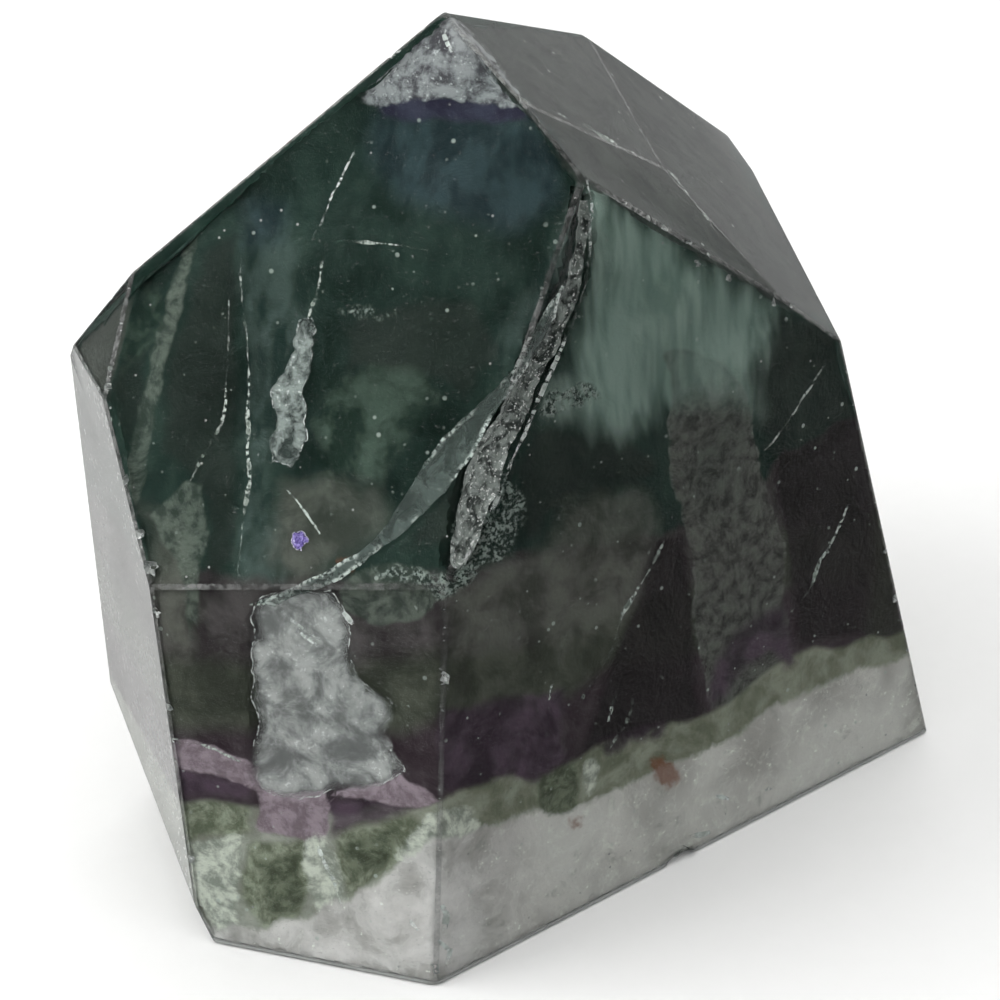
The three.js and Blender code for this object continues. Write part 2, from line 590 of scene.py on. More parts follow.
# The growth surfaces, from the lowest up: frame points where each shows on the front faces, and guessed
# places behind, in millimetres.
MILKY_TOP = [
    (215, 928), (251, 928), (300, 918), (343, 903), (371, 888), (390, 868), (410, 850), (435, 836),
    (470, 832), (519, 816), (579, 806), (642, 777), (716, 745), (786, 700), (839, 676), (905, 655),
]
OLIVE_TOP = [
    (178, 798), (215, 800), (250, 806), (330, 812), (400, 806), (454, 792), (502, 774), (537, 777),
    (575, 760), (596, 746), (646, 732), (705, 714), (796, 653), (856, 641), (900, 632),
]
VIOLET_TOP = [
    (150, 577), (200, 577), (260, 577), (330, 577), (400, 577), (447, 574), (500, 560), (555, 548),
    (620, 540), (676, 530), (740, 500), (800, 450), (850, 420),
]
MILKY_BEHIND = [(-24, 0, 7), (0, 24, 8), (25, 15, 7), (-8, 10, 8), (12, 0, 9)]
OLIVE_BEHIND = [(-26, 0, 12), (0, 26, 13), (27, 16, 12), (-8, 10, 13), (12, 0, 13)]
VIOLET_BEHIND = [(-27, 0, 27), (0, 26, 29), (27, 16, 30), (-8, 10, 28), (12, 0, 30)]

# The outline of the cloudy mass, with its depth in millimetres at each corner.
CLOUDY_MASS = [
    (250, 616, 0.14), (262, 596, 0.13), (296, 586, 0.12), (332, 590, 0.13), (345, 612, 0.14),
    (350, 640, 0.14), (357, 674, 0.14), (372, 688, 0.13), (391, 700, 0.13), (394, 718, 0.14),
    (384, 733, 0.14), (396, 755, 0.13), (408, 772, 0.13), (380, 786, 0.13), (350, 790, 0.13),
    (327, 792, 0.13), (300, 800, 0.14), (262, 790, 0.15), (250, 760, 0.14), (251, 700, 0.12),
    (252, 660, 0.12),
]
# Patches of the front faces, each drawn by one or more outlines of frame points. The column fades into
# the haze at "merge". "top" is the grey faces at the top right, and "corner" is the one at the far left.
PATCHES = {
    "frost": [
        [(440, 16), (455, 16), (478, 44), (504, 74), (530, 104), (512, 106), (480, 104), (440, 98),
         (410, 100), (385, 106), (360, 102), (372, 84), (394, 62), (420, 38)],
    ],
    "indigo": [
        [(376, 100), (410, 97), (450, 97), (500, 103), (530, 108), (536, 120), (500, 124), (450, 120),
         (410, 122), (384, 116)],
    ],
    "blue": [
        [(372, 112), (450, 112), (530, 116), (556, 150), (556, 200), (520, 230), (460, 220), (400, 200),
         (366, 160)],
        [(246, 196), (285, 205), (280, 240), (246, 245)],
    ],
    "curtain": [
        [(246, 196), (285, 215), (300, 260), (303, 320), (296, 370), (275, 420), (262, 500), (300, 560),
         (330, 574), (252, 600), (240, 560), (250, 480), (248, 400), (246, 320), (241, 250)],
        [(495, 330), (530, 290), (560, 240), (575, 200), (568, 280), (540, 330), (505, 370)],
        [(592, 196), (614, 206), (642, 270), (664, 350), (708, 402), (664, 404), (640, 350), (614, 280)],
    ],
    "haze": [
        [(592, 196), (640, 226), (700, 268), (775, 305), (768, 345), (745, 372), (742, 400), (720, 420),
         (668, 400), (640, 420), (600, 430), (560, 400), (572, 340), (590, 270)],
    ],
    "moss": [
        [(330, 380), (370, 368), (420, 372), (440, 395), (415, 430), (380, 480), (330, 478), (318, 430)],
        [(118, 330), (150, 290), (165, 300), (150, 345), (125, 370)],
    ],
    "brown": [
        [(552, 548), (560, 510), (600, 490), (640, 494), (655, 520), (648, 545), (600, 556)],
        [(285, 485), (330, 478), (372, 492), (388, 520), (352, 556), (322, 574), (300, 585), (270, 560),
         (280, 520)],
        [(450, 590), (500, 565), (560, 548), (650, 540), (648, 575), (610, 620), (560, 650), (500, 640),
         (452, 660)],
        [(140, 510), (190, 520), (200, 600), (190, 660), (165, 640), (150, 560)],
    ],
    "dark": [
        [(205, 250), (236, 235), (240, 300), (238, 390), (236, 470), (232, 560), (212, 600), (206, 500),
         (190, 475), (164, 450), (164, 390), (178, 340), (192, 290)],
        [(345, 325), (400, 305), (470, 300), (500, 350), (465, 400), (430, 375), (380, 366), (348, 366)],
        [(112, 385), (132, 350), (150, 340), (146, 380), (130, 440)],
        [(778, 312), (835, 340), (872, 430), (897, 560), (908, 640), (860, 632), (800, 645), (792, 600),
         (787, 550), (776, 505), (760, 430), (748, 372), (764, 340)],
        [(655, 540), (686, 534), (694, 600), (706, 712), (620, 742), (575, 758), (602, 680), (640, 600)],
        [(540, 330), (520, 395), (480, 470), (450, 540), (400, 552), (436, 506), (470, 462), (500, 410)],
        [(535, 430), (620, 432), (655, 465), (636, 482), (590, 486), (550, 510), (530, 540), (512, 500)],
    ],
    "smoke": [
        [(190, 226), (199, 228), (190, 268), (182, 310), (170, 350), (160, 394), (150, 440), (146, 478),
         (136, 505), (124, 490), (132, 440), (142, 400), (152, 350), (166, 310), (178, 268)],
        [(186, 480), (202, 484), (205, 515), (206, 545), (199, 590), (194, 640), (190, 640), (186, 590),
         (176, 560), (160, 540), (150, 515), (170, 500)],
        [(338, 596), (350, 578), (372, 566), (398, 563), (425, 570), (439, 588), (436, 606), (414, 621),
         (380, 627), (356, 616), (344, 610)],
    ],
    "column": [
        [(662, 352), (672, 376), (668, 420), (672, 480), (683, 505), (686, 532), (694, 563), (692, 607),
         (700, 646), (706, 678), (711, 708), (735, 700), (768, 690), (794, 664), (788, 622), (782, 585),
         (785, 553), (776, 518), (767, 492), (757, 450), (752, 420), (742, 385), (722, 362), (690, 350)],
    ],
    "merge": [
        [(652, 336), (700, 338), (748, 366), (756, 410), (736, 402), (706, 398), (672, 400), (660, 372)],
    ],
    "silver": [
        [(478, 458), (500, 468), (520, 490), (524, 520), (500, 560), (470, 582), (452, 578), (456, 540),
         (466, 500)],
        [(548, 392), (590, 384), (600, 398), (570, 412), (540, 414)],
        [(340, 309), (375, 308), (390, 316), (345, 315)],
        [(364, 560), (405, 566), (440, 575), (470, 560), (490, 556), (470, 580), (440, 600), (420, 582),
         (380, 578)],
    ],
    "plum": [
        [(711, 706), (714, 670), (728, 640), (745, 628), (770, 612), (784, 606), (790, 640), (796, 664),
         (786, 668), (770, 650), (748, 664), (728, 690)],
        [(440, 712), (500, 700), (562, 690), (566, 760), (536, 782), (500, 776), (455, 790), (440, 792)],
        [(600, 742), (662, 724), (664, 738), (606, 754)],
        [(326, 798), (425, 800), (400, 816), (330, 838)],
        [(178, 768), (252, 784), (250, 800), (182, 796)],
    ],
    "pink": [
        [(171, 741), (188, 740), (208, 745), (230, 755), (252, 764), (254, 790), (232, 782), (205, 773),
         (176, 766)],
        [(326, 793), (352, 786), (380, 782), (398, 771), (410, 783), (440, 802), (424, 807), (385, 803),
         (352, 798)],
        [(288, 800), (300, 790), (325, 790), (329, 830), (320, 846), (296, 838)],
        [(252, 764), (290, 770), (300, 800), (296, 838), (256, 830)],
    ],
    "green": [
        [(535, 772), (578, 760), (576, 818), (540, 815)],
        [(182, 800), (250, 802), (250, 832), (185, 842)],
        [(330, 826), (410, 814), (430, 828), (402, 862), (370, 885), (346, 897), (336, 862)],
        [(248, 842), (305, 838), (312, 880), (302, 922), (262, 926), (244, 900)],
    ],
    "pale": [
        [(404, 872), (434, 846), (438, 978), (414, 972)],
        [(303, 838), (325, 838), (346, 905), (322, 912), (308, 880)],
        [(186, 846), (245, 836), (240, 880), (238, 932), (215, 928), (195, 890)],
        [(396, 858), (430, 812), (470, 806), (482, 832), (450, 850), (410, 866)],
        [(583, 770), (594, 756), (600, 775), (588, 796)],
    ],
    "top": [
        [(449, 13), (520, 22), (588, 36), (660, 80), (726, 134), (775, 225), (842, 334), (775, 302),
         (700, 260), (640, 219), (585, 178), (528, 100), (470, 35)],
    ],
    "shade": [
        [(535, 772), (578, 760), (576, 818), (540, 815)],
        [(258, 862), (300, 850), (304, 900), (272, 918)],
        [(345, 842), (402, 826), (392, 860), (352, 886)],
    ],
    "rust": [
        [(650, 760), (662, 756), (672, 764), (680, 778), (668, 789), (656, 780)],
        [(571, 818), (581, 818), (581, 828), (572, 828)],
        [(340, 560), (352, 558), (354, 572), (342, 574)],
    ],
    "corner": [
        [(70, 350), (100, 320), (132, 280), (120, 340), (106, 402)],
    ],
}


def tone(red, green, blue, gain=1.25):
    """The colour of a surface that looks this bright, on a scale to 255, in the stone's light. Where
    less light falls, gain is higher."""
    return rgb(*(gain * (value / 255) ** 2.2 for value in (red, green, blue)))


def heart_finish():
    """The looks of the cloudy heart, laid over each other from the upper stone down to the milky base."""
    made, sheet = finish("cloudy_fluorite")
    place = sheet.place()
    across = place.along("X")
    slow = {"Vector": place, "Scale": 1 / (5 * MM), "Detail": 1.0}
    swirl = sheet.node("ShaderNodeTexNoise", None, slow, out="Color")
    bent = {0: swirl, 1: (3 * MM, 3 * MM, 3 * MM), 2: place}
    swept = sheet.node("ShaderNodeVectorMath", {"operation": "MULTIPLY_ADD"}, bent)
    broad = sheet.cloud(swept, 9 * MM, 2)
    middle = sheet.cloud(swept, 3.2 * MM, 4, rough=0.6)
    fine = sheet.cloud(swept, 1.0 * MM, 4, rough=0.65)
    grain = sheet.cloud(place, 0.3 * MM, 2)
    tall = sheet.node("ShaderNodeMapping", None, {"Vector": place, "Scale": (1.0, 1.0, 0.16)})
    streaks = sheet.cloud(tall, 1.8 * MM, 2, rough=0.6)

    def mask(name, soft, sway=8.0, source=middle):
        """1 well inside the patches of this name; their outlines wander with the noise and are soft."""
        return (sheet.stored(name) + (source - 0.5) * (sway * 2.0)).step(-soft * 0.5, soft * 0.5)

    def level(name, sway, source, soft):
        """1 below the growth surface of this name, 0 above it."""
        return (sheet.stored(name) + (source - 0.5) * (sway * 2.0)).step(soft, -soft)

    def tones(factor, dark, light, gain=1.25):
        """Goes from one tone to the other with the factor."""
        return sheet.blend(factor, tone(*dark, gain), tone(*light, gain))

    def mottled(source, dark, light, gain=1.25, start=0.35, end=0.65):
        """Goes from one tone to the other as the noise goes from start to end."""
        return tones(source.step(start, end), dark, light, gain)

    # The green-black upper stone, with its soft clouds.
    drift = broad.step(0.35, 0.65) * 0.6 + streaks.step(0.4, 0.7) * 0.4
    body = tones(drift, (30, 41, 37), (54, 69, 63))
    body = sheet.blend(mask("dark", 14, 10) * 0.85, body, tones(middle, (30, 34, 32), (58, 66, 61)))
    body = sheet.blend(mask("curtain", 26, 10) * 0.7, body, mottled(streaks, (46, 60, 56), (84, 96, 92)))
    body = sheet.blend(mask("blue", 30, 10) * 0.75, body, mottled(streaks, (44, 54, 59), (62, 76, 81)))
    mossy = mottled(middle, (42, 55, 48), (84, 98, 88), start=0.4)
    body = sheet.blend(mask("moss", 20, 10) * 0.8, body, mossy)
    haze = mottled(streaks, (82, 94, 88), (106, 116, 110), 3.1)
    body = sheet.blend(mask("haze", 44, 26, streaks) * 0.85, body, haze)

    # The violet layer: plum below, grey-green and brown above. rise is the height over the olive layer.
    rise = sheet.stored("olive") + (broad - 0.5) * 3.0
    murk = mottled(middle, (50, 42, 46), (66, 58, 62), 1.7)
    murk = sheet.blend(rise.step(4.5, 6.5), murk, mottled(middle, (52, 54, 48), (74, 76, 68), 1.7))
    murk = sheet.blend(rise.step(9.5, 11.5), murk, mottled(middle, (50, 46, 47), (76, 72, 72), 1.7))
    violet = level("violet", 1.3, middle, 0.5)
    body = sheet.blend(violet, body, murk)
    body = sheet.blend(mask("brown", 30, 12) * 0.8, body, mottled(middle, (64, 65, 60), (94, 94, 88), 1.7))
    gloom = mask("dark", 12, 8)
    low_gloom = gloom * level("violet", 1.0, middle, 0.5) * 0.9
    body = sheet.blend(low_gloom, body, tones(middle, (30, 27, 28), (44, 40, 41), 1.6))
    right_gloom = gloom * across.step(26 * MM, 28 * MM)
    body = sheet.blend(right_gloom, body, tones(middle, (36, 34, 32), (54, 54, 50), 1.8))

    # Veils of bubbles.
    body = sheet.blend(mask("smoke", 5, 3, fine) * 0.85, body, mottled(fine, (62, 70, 64), (106, 112, 104)))
    pitted = mottled(fine, (48, 47, 46), (84, 84, 80), 2.0, 0.30, 0.66)
    body = sheet.blend(mask("column", 5, 3, fine), body, pitted)
    column = mask("column", 6, 3, fine)
    rim = column * column.step(0.95, 0.4)
    body = sheet.blend(rim * fine.step(0.4, 0.6) * 0.6, body, tone(120, 122, 116, 1.9))
    body = sheet.blend(mask("merge", 44, 14, streaks) * 0.7, body, haze)
    silvery = mottled(grain, (50, 58, 54), (150, 158, 152), start=0.42, end=0.62)
    body = sheet.blend(mask("silver", 7, 6, fine) * fine.step(0.36, 0.55), body, silvery)

    # The olive layer, paler on the left, with milky, green and pink patches.
    left = across.step(-4 * MM, -14 * MM)
    olive = mottled(middle, (84, 86, 74), (116, 117, 106), 2.3)
    olive = sheet.blend(left * 0.7, olive, mottled(middle, (122, 122, 115), (160, 160, 154), 1.5))
    green = mottled(fine, (80, 85, 70), (136, 140, 124), 1.7, end=0.7)
    olive = sheet.blend(mask("green", 9, 5, fine) * 0.9, olive, green)
    shade = mottled(fine, (58, 63, 52), (96, 101, 86), 1.7, end=0.7)
    olive = sheet.blend(mask("shade", 8, 5, fine) * 0.75, olive, shade)
    body = sheet.blend(level("olive", 0.5, middle * 0.5 + fine * 0.5, 0.35), body, olive)
    plum = mottled(middle, (50, 42, 49), (82, 68, 80), 1.6)
    body = sheet.blend(mask("plum", 12, 6, fine) * 0.85, body, plum)
    pink = mottled(fine, (108, 96, 102), (140, 126, 134), 1.65)
    body = sheet.blend(mask("pink", 4, 2, fine), body, pink)
    pale = mottled(fine, (128, 131, 123), (192, 194, 184), 1.5)
    body = sheet.blend(mask("pale", 8, 7, fine), body, pale)

    # The milky base, brighter on the left, with smudges, white crumbs and thin veins.
    milk = mottled(broad, (121, 118, 115), (151, 148, 145), 2.6)
    milk = sheet.blend(fine.step(0.5, 0.75) * 0.6, milk, tone(168, 168, 162, 2.4))
    bright = sheet.blend(middle.step(0.3, 0.7), tone(164, 160, 157, 1.3), tone(212, 207, 206, 1.36))
    milk = sheet.blend(across.step(4 * MM, -8 * MM), milk, bright)
    smudge = middle.step(0.44, 0.30) * fine.step(0.4, 0.6)
    milk = sheet.blend(smudge * 0.5, milk, tone(104, 104, 99, 1.8))
    crumbs = grain.step(0.62, 0.70) * fine.step(0.5, 0.62)
    milk = sheet.blend(crumbs, milk, tone(214, 214, 208, 1.6))
    off_middle = middle - 0.5
    vein = off_middle.sum("ABSOLUTE", off_middle).step(0.02, 0.0)
    milk = sheet.blend(vein * 0.15, milk, tone(222, 222, 218, 1.5))
    body = sheet.blend(level("milky", 1.5, middle * 0.6 + fine * 0.4, 0.35), body, milk)

    # The grey faces at the top right and far left, and the frosted tip over its indigo band.
    grey = mottled(streaks, (50, 54, 52), (66, 70, 66), start=0.3, end=0.7)
    body = sheet.blend(mask("top", 8, 2), body, grey)
    body = sheet.blend(mask("corner", 8, 2), body, tone(66, 68, 64))
    body = sheet.blend(mask("indigo", 9, 4, fine), body, mottled(middle, (52, 50, 66), (72, 72, 88)))
    icy = mottled(fine, (84, 82, 86), (164, 164, 166), start=0.36, end=0.62)
    icy = sheet.blend(grain.step(0.6, 0.72) * 0.7, icy, tone(220, 220, 220))
    body = sheet.blend(mask("frost", 5, 6, fine), body, icy)

    # White dots, which are bubbles, and rust in small pits.
    dots = specks(sheet, place, 1.7 * MM, 0.20 * MM, 0.5) * middle.step(0.40, 0.55)
    dots = dots.most(specks(sheet, place, 0.7 * MM, 0.13 * MM, 0.45) * fine.step(0.52, 0.66))
    body = sheet.blend(dots * 0.75, body, tone(176, 182, 176))
    body = sheet.blend(mask("rust", 7, 9, fine) * 0.7, body, tone(98, 62, 46, 2.2))
    surface = sheet.principled(
        Base_Color=body,
        Roughness=grain.step(0.3, 0.7, 0.4, 0.8),
        Specular_IOR_Level=0.04,
        Normal=(fine + grain * 0.2).relief(0.4, 0.25 * MM),
    )
    sheet.show(surface)
    return made


heart = merged_copy("cloudy_heart")
# Shrinking about the middle takes HEART_INSET off at HEART_REACH, which is about where the faces lie.
shrink = Matrix.Scale(1 - HEART_INSET / HEART_REACH, 4)
heart.data.transform(Matrix.Translation(HEART_MIDDLE) @ shrink @ Matrix.Translation(-HEART_MIDDLE))
core = face_finder(heart.data)
cells = only(heart).modifiers.new("cells", "REMESH")
cells.mode = "VOXEL"
cells.voxel_size = HEART_CELL
bpy.ops.object.modifier_apply(modifier=cells.name)
for vertex in heart.data.vertices:
    vertex.co = core.find_nearest(vertex.co)[0]

# The clouds of the upper stone begin deeper than the layers below them, and unevenly.
places = np.array([tuple(v.co) for v in heart.data.vertices])
outward = np.array([tuple(v.normal) for v in heart.data.vertices])
above = heights(places, VIOLET_TOP, VIOLET_BEHIND)
sink = np.array([0.5 + noise.noise(Vector(p) / (5 * MM)) for p in places])
sink *= np.clip(0.35 + above * 0.12, 0.08, 0.9)
places -= outward * np.clip(sink, 0, DEEPEST_CLOUD)[:, None] * MM

# Room is left in the heart for the scar and for the cloudy mass.
sights, square = seen_at(places)
front = (square > EDGE_ON)[:, None]
hollows = np.clip(inside_by(sights, SCAR) / 6 + 1.3, 0, 1) * SCAR_ROOM
hollows = np.maximum(hollows, np.clip(inside_by(sights, CLOUDY_MASS) / 8 + 0.2, 0, 1) * MASS_ROOM)
places -= outward * front * hollows[:, None] * MM
heart.data.vertices.foreach_set("co", places.ravel())

# Each point of the mesh is told its height over the growth surfaces and how far inside each patch it is.
sights, square = seen_at(places)
surfaces = {
    "milky": heights(places, MILKY_TOP, MILKY_BEHIND),
    "olive": heights(places, OLIVE_TOP, OLIVE_BEHIND),
    "violet": heights(places, VIOLET_TOP, VIOLET_BEHIND),
}
for n, (name, outlines) in enumerate(PATCHES.items()):
    best = np.full(len(places), -FAR)
    for m, outline in enumerate(outlines):
        flat = [(u, v, 0) for u, v in outline]
        loop = ragged(flat, sway=0.09, seed=300 + 10 * n + m, longest=6.0)
        best = np.maximum(best, inside_by(sights, loop))
    surfaces[name] = np.where(square > EDGE_ON, best, -FAR)
for name, values in surfaces.items():
    heart.data.attributes.new(name, "FLOAT", "POINT").data.foreach_set("value", values)
heart.data.materials.append(heart_finish())
only(heart)
bpy.ops.object.shade_smooth_by_angle(angle=math.radians(40))
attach(heart, "root")

# ----------------------------------------------------------------------
# Cracks and veils: thin crumpled flakes, greyer and rougher than the clear stone, sealed between its
# polished faces and the cloudy heart. The shine of the air in an open crack is painted bright along its
# broken rim.


def veil_finish(name, dark, light, rim, cover, patch, rim_wide, soft, grit, gloss=0.4, warp=0.9, relief=0.8):
    """Bubbly fluorite, from dark to light in patches of patch millimetres. rim is the colour of the painted
    shine on the broken line round the outline, rim_wide frame points wide. The veil thins out over soft
    frame points, and cover is how much of what lies behind it hides. grit, gloss, warp and relief are for
    its surface."""
    made, sheet = finish(name)
    rim = rgb(*rim)
    place = sheet.place()
    inside = sheet.stored("rim")
    broad = sheet.cloud(place, patch * MM, 4, rough=0.65, warp=warp)
    bits = sheet.cloud(place, 3.1 * MM, 2)
    grain = sheet.cloud(place, 0.28 * MM, 4)
    body = sheet.blend(broad.step(0.38, 0.62), rgb(*dark), rgb(*light))
    body = sheet.blend(grain.step(0.56, 0.70) * broad.step(0.45, 0.6) * grit, body, rim)
    # The broken line round the outline is painted shine.
    line = (inside + broad * 3.0).step(rim_wide + 2.2, rim_wide * 0.5 + 1.2) * grain.step(0.42, 0.56)
    line = line * bits.step(0.44, 0.58)
    body = sheet.blend(line, body, rim)
    edge = (inside + broad * soft).step(soft * 0.4, soft * 1.3)
    alpha = (edge * broad.step(0.25, 0.7, cover * 0.7, cover)).most(line * cover)
    surface = sheet.principled(
        Base_Color=body,
        Roughness=grain.step(0.3, 0.7, gloss, 0.75),
        Specular_IOR_Level=0.15,
        Alpha=alpha,
        Normal=(broad + grain * 0.4).relief(relief, 0.15 * MM),
    )
    sheet.show(surface)
    return made


def place_veil(piece, material):
    """Gives a flake its finish and seals it in the stone, where it throws no shadow."""
    piece.data.materials.append(material)
    piece.visible_shadow = False
    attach(piece, "root")


# The large cloudy mass low on the left front face.
cloudy_shades = (0.26, 0.262, 0.26), (0.60, 0.60, 0.59), (0.97, 0.97, 0.96)
cloudy = veil_finish(
    "cloudy_grey", *cloudy_shades, cover=0.95, patch=2.8, rim_wide=1.2, soft=14, grit=0.8,
    warp=0.4, relief=0.55,
)


def bell(u, v, middle, reach):
    """1 at the middle, fading to 0 beyond reach."""
    return math.exp(-(((u - middle[0]) / reach[0]) ** 2 + ((v - middle[1]) / reach[1]) ** 2))


def ripples(u, v):
    """Shell-like ridges across the upper middle and the lower right of the mass."""
    upper = bell(u, v, (303, 626), (26, 20)) * math.sin((u * 0.55 - v * 0.83) * 0.62)
    lower = bell(u, v, (375, 745), (30, 34)) * math.sin((u * 0.80 - v * 0.60) * 0.40)
    return 0.12 * upper + 0.10 * lower


mass = sealed(
    "cloudy_mass", CLOUDY_MASS, thick=3.5, sway=0.12, pitch=3, bump=0.07, wave=2.2, seed=21, taper=22,
    shape=ripples,
)
place_veil(mass, cloudy)

# The bent crack that runs from the upper front edge down to the cloudy mass: a smooth lens between two
# bright jagged rims of painted shine.
LENS_CRACK = [
    (249, 605, 0.09), (285, 591, 0.08), (322, 574, 0.08), (352, 556, 0.08), (383, 529, 0.08),
    (402, 500, 0.08), (424, 463, 0.08), (446, 434, 0.08), (478, 404, 0.08), (512, 370, 0.08),
    (530, 332, 0.08), (548, 305, 0.08), (566, 280, 0.08), (556, 318, 0.09), (536, 350, 0.1),
    (518, 382, 0.12), (500, 405, 0.13), (484, 432, 0.14), (468, 462, 0.15), (446, 492, 0.15),
    (420, 516, 0.14), (392, 541, 0.13), (360, 566, 0.12), (322, 588, 0.1), (275, 607, 0.1),
]
lens_shades = (0.045, 0.058, 0.052), (0.11, 0.135, 0.125), (0.75, 0.8, 0.76)
glassy = veil_finish(
    "lens_crack", *lens_shades, cover=0.85, patch=2.2, rim_wide=4.5, soft=1.0, grit=0.12, gloss=0.25
)
lens = sealed(
    "lens_crack", LENS_CRACK, thick=0.3, sway=0.05, pitch=3.5, bump=0.03, wave=1.2, seed=41, taper=8
)
place_veil(lens, glassy)

# A violet glint where a small crack catches the light, painted on a small flake.
GLINT_DEPTH = 0.06
VIOLET_GLINT = [(292, 534), (303, 531), (309, 541), (302, 551), (293, 547)]
glint_paint_shades = (0.10, 0.06, 0.28), (0.45, 0.36, 0.80), (0.95, 0.9, 1.0)
glint_paint = veil_finish(
    "painted_violet_glint", *glint_paint_shades, cover=0.9, patch=0.3, rim_wide=0.5, soft=2, grit=1.0
)
corners = [(u, v, GLINT_DEPTH) for u, v in VIOLET_GLINT]
glint = sealed(
    "violet_glint", corners, thick=0.08, sway=0.2, pitch=2, bump=0.02, wave=1.2, seed=44, taper=3
)
place_veil(glint, glint_paint)

# Slivers that lie almost at the surface and lean into the stone. The bright ones are white edges of open
# cracks and chips, painted highlights along edges and ridges, and painted glints.
SLIVER_DEPTH, SLIVER_LEAN = 0.05, 0.08
white_and_glint_shades = (0.6, 0.63, 0.6), (0.9, 0.93, 0.9), (1.0, 1.0, 1.0)
faint_shades = (0.16, 0.19, 0.165), (0.38, 0.42, 0.38), (0.8, 0.85, 0.8)
bright = veil_finish(
    "white_and_glint_sliver", *white_and_glint_shades, cover=0.95, patch=0.8, rim_wide=0.5, soft=0.2, grit=0.7
)
faint = veil_finish(
    "faint_sliver", *faint_shades, cover=0.75, patch=0.9, rim_wide=0.5, soft=0.2, grit=0.6
)


def sliver(path, width):
    """The corners of a long narrow crack edge along a path of frame points, width wide at its middle."""
    left, right = [], []
    for n, (u, v) in enumerate(path):
        before, after = Vector(path[max(n - 1, 0)]), Vector(path[min(n + 1, len(path) - 1)])
        across = (after - before).normalized().orthogonal()
        half = width * (0.18 + 0.32 * math.sin(math.pi * (n + 0.35) / (len(path) - 0.3)))
        left.append((u + across.x * half, v + across.y * half, SLIVER_DEPTH))
        right.append((u - across.x * half, v - across.y * half, SLIVER_DEPTH + SLIVER_LEAN))
    return left + right[::-1]


# Each crack edge: its name, its width in frame points, its finish and its path.
CRACKS = [
    # The scar's edges carry painted highlights along the edge of the break.
    ("scar_edge_highlight_top", 3.2, bright, [(587, 180), (592, 205), (590, 240), (585, 288)]),
    ("scar_edge_highlight_middle", 3.8, bright,
     [(585, 286), (571, 328), (550, 375), (529, 423), (511, 462), (501, 487)]),
    ("scar_edge_highlight_low", 3.4, bright, [(503, 487), (489, 517), (473, 548), (457, 580)]),
    ("tip_ridge_line", 1.4, faint, [(531, 104), (560, 114), (584, 124), (619, 147), (661, 159)]),
    ("shoulder_line", 1.6, faint, [(667, 169), (684, 188), (700, 209), (715, 230)]),
    # Painted glints: white specks where tiny faces catch the light.
    ("painted_glint_a", 5, bright, [(716, 796), (722, 797), (729, 799)]),
    ("painted_glint_b", 4, bright, [(765, 790), (770, 788), (774, 786)]),
    ("painted_glint_c", 6, bright, [(690, 837), (700, 835), (710, 832)]),
    ("painted_glint_d", 7, bright, [(442, 905), (447, 915), (444, 930)]),
    ("painted_glint_e", 6, bright, [(438, 940), (450, 950), (446, 968)]),
    ("painted_glint_f", 4, bright, [(410, 920), (414, 926), (418, 930)]),
    # Painted highlights along the ridges of the cloudy mass.
    ("mass_ridge_highlight_a", 4, bright, [(281, 611), (294, 622), (308, 634), (320, 640)]),
    ("mass_ridge_highlight_b", 4, bright, [(290, 622), (302, 634), (318, 646)]),
    ("mass_ridge_highlight_c", 6, bright, [(343, 612), (348, 618), (353, 624)]),
    ("feather", 4, bright, [(318, 846), (324, 862), (334, 880), (341, 904)]),
    ("edge_nick", 5, bright, [(440, 668), (447, 676), (446, 690)]),
    ("tip_nick", 5, bright, [(440, 24), (446, 40), (452, 52)]),
    ("upper_crack", 2.2, bright, [(355, 150), (344, 172), (330, 200), (322, 222), (313, 237)]),
    ("upper_crack_foot", 3.0, faint, [(326, 240), (322, 262), (318, 290), (308, 318)]),
    ("left_line_top", 2.2, faint, [(248, 190), (242, 232), (240, 276), (244, 318), (248, 350)]),
    ("left_line", 2.6, faint,
     [(247, 350), (248, 400), (247, 450), (250, 482), (243, 520), (239, 560), (238, 596)]),
    ("slant_line", 2.6, faint,
     [(229, 300), (228, 345), (226, 400), (221, 425), (206, 450), (194, 474), (188, 484)]),
    ("low_slant", 2.4, faint, [(287, 490), (300, 505), (312, 522), (320, 534)]),
    ("crossing_line", 1.5, faint,
     [(313, 238), (345, 240), (385, 244), (430, 250), (465, 259), (500, 262)]),
    ("right_high_line", 2.0, faint, [(826, 363), (812, 385), (796, 410), (780, 432), (765, 450)]),
    ("right_low_line", 2.4, faint,
     [(858, 485), (845, 512), (836, 534), (820, 560), (810, 590), (791, 612)]),
    ("forked_line", 3.0, faint,
     [(664, 541), (652, 566), (638, 588), (622, 615), (616, 640), (602, 668), (586, 690), (572, 724)]),
    ("forked_side", 3.0, faint, [(606, 584), (584, 608), (566, 634), (558, 664), (549, 700)]),
    ("loop_side", 3.0, faint, [(620, 690), (612, 704), (608, 722)]),
    ("loop_other_side", 3.0, faint, [(634, 690), (632, 708), (624, 728), (610, 748)]),
    ("lobe_line", 2.2, faint, [(404, 566), (420, 572), (436, 578), (441, 592)]),
    ("base_line_left", 2.4, faint, [(176, 742), (200, 744), (226, 755), (250, 765)]),
]
for n, (name, width, finish_of, path) in enumerate(CRACKS):
    corners = sliver(path, width)
    edge = sealed(
        name, corners, thick=0.05, sway=0.05, pitch=3, bump=0.03, wave=0.5, seed=60 + n, taper=2
    )
    place_veil(edge, finish_of)

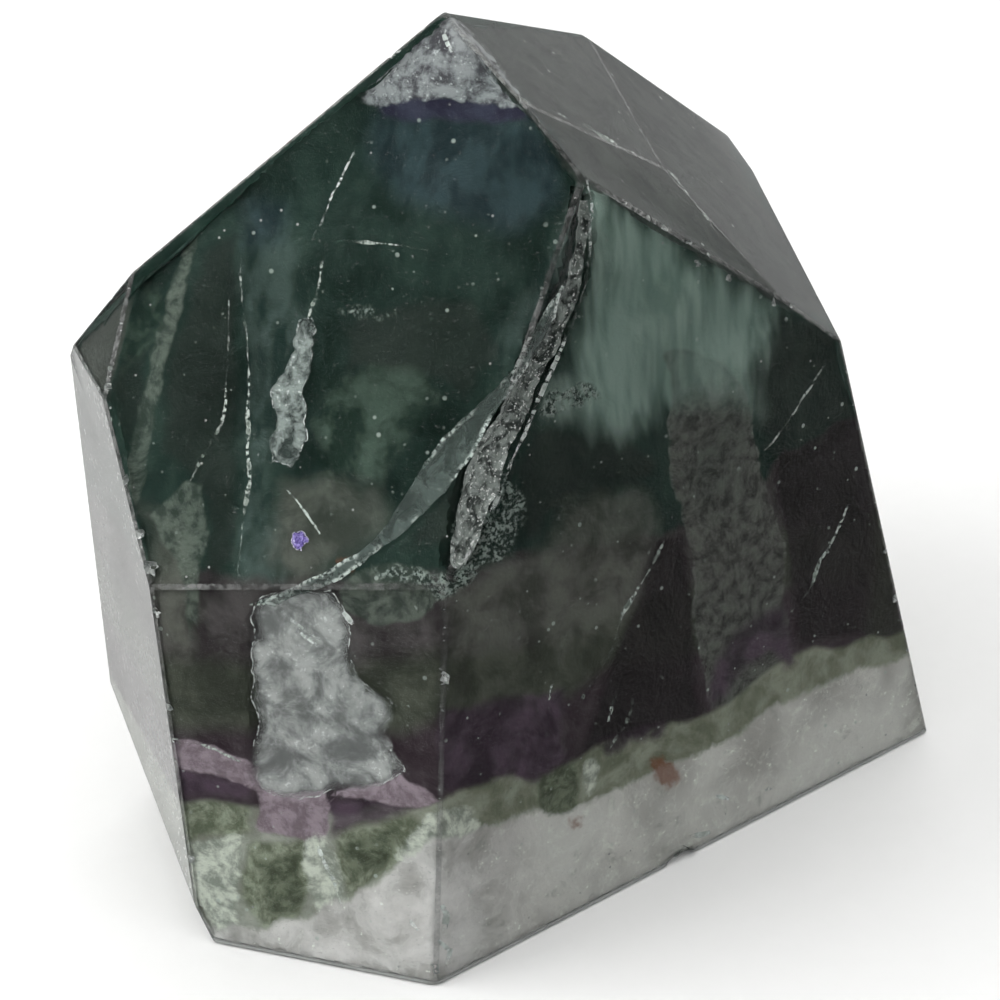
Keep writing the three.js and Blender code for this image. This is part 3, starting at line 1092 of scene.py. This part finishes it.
# The rough silver patch in the upper left face.
SILVER_COLUMN = [
    (302, 318, 0.08), (312, 318, 0.08), (317, 330, 0.08), (312, 352, 0.09), (308, 380, 0.1),
    (306, 415, 0.11), (302, 450, 0.12), (292, 470, 0.13), (272, 462, 0.13), (268, 440, 0.12),
    (276, 415, 0.11), (270, 395, 0.1), (284, 372, 0.09), (294, 350, 0.09), (296, 330, 0.08),
]
silver_shades = (0.05, 0.062, 0.058), (0.38, 0.42, 0.40), (1.0, 1.0, 1.0)
silver = veil_finish(
    "silver_veil", *silver_shades, cover=0.9, patch=1.1, rim_wide=1.0, soft=4, grit=0.8,
    warp=0.3, relief=0.5,
)
silver_patch = sealed(
    "silver_column", SILVER_COLUMN, thick=0.4, sway=0.16, pitch=3, bump=0.06, wave=0.8, seed=81, taper=6
)
place_veil(silver_patch, silver)

# ----------------------------------------------------------------------
# Floor: a plain pale sheet of matt board that the stone stands on. It isn't part of the stone. The stone
# is lit by a darker board than the one that is seen, so that its lower faces stay deep in colour.
FLOOR_GAP = 0.05 * MM
bpy.ops.object.select_all(action="DESELECT")
bpy.ops.mesh.primitive_plane_add(size=6, location=(0, 0, -FLOOR_GAP))
floor = bpy.context.object
floor.name = "floor"
board, sheet = finish("matt_board")
fibre = sheet.cloud(sheet.place(), 2 * MM)
paper = sheet.blend(fibre, rgb(0.84, 0.84, 0.83), rgb(0.86, 0.86, 0.85))
watched = sheet.node("ShaderNodeLightPath", out="Is Camera Ray")
paper = sheet.blend(watched, rgb(0.36, 0.36, 0.36), paper)
sheet.show(sheet.principled(Base_Color=paper, Roughness=0.9))
floor.data.materials.append(board)

# ----------------------------------------------------------------------
# Light: a pale room that is brightest behind and above, with one soft lamp on the left and one high up
# behind. Both lamps are out of sight, and the walls look almost white from the camera.
world = bpy.data.worlds.new("room")
bpy.context.scene.world = world
world.use_nodes = True
world.node_tree.nodes.clear()
sheet = Shade(world.node_tree)
way = sheet.node("ShaderNodeTexCoord", out="Generated")
back = way.along("Y").step(-0.35, 0.5)
high = way.along("Z").step(0.35, 0.9)
seen = sheet.node("ShaderNodeLightPath", out="Is Camera Ray")
walls = sheet.blend(back, rgb(0.32, 0.33, 0.34), rgb(0.54, 0.54, 0.54))
walls = sheet.blend(high, walls, rgb(1.3, 1.3, 1.3))
walls = sheet.blend(seen, walls, rgb(0.95, 0.95, 0.95))
glow = sheet.node("ShaderNodeBackground", None, {"Color": walls, "Strength": 1.0})
sheet.node("ShaderNodeOutputWorld", None, {"Surface": glow})


def lamp(name, place, target, width, power):
    """A square soft lamp that faces target."""
    light = bpy.data.lights.new(name, "AREA")
    light.shape = "SQUARE"
    light.size = width
    light.energy = power
    made = new_object(name, light)
    made.location = place
    made.rotation_euler = (Vector(target) - Vector(place)).to_track_quat("-Z", "Y").to_euler()
    made.visible_camera = False


STONE_MIDDLE = (0, 0, 0.02)
lamp("left_lamp", (-0.50, -0.02, 0.36), STONE_MIDDLE, width=0.35, power=1.9)
lamp("top_lamp", (0.05, 0.25, 0.70), STONE_MIDDLE, width=0.5, power=0.9)

# A ray may pass many clear surfaces behind each other. Smooth parts of the picture need few samples.
bpy.context.scene.view_settings.view_transform = "Standard"
cycles = bpy.context.scene.cycles
cycles.transparent_max_bounces = 12
cycles.max_bounces = 8
cycles.diffuse_bounces = 2
cycles.adaptive_threshold = 0.15
cycles.adaptive_min_samples = 4
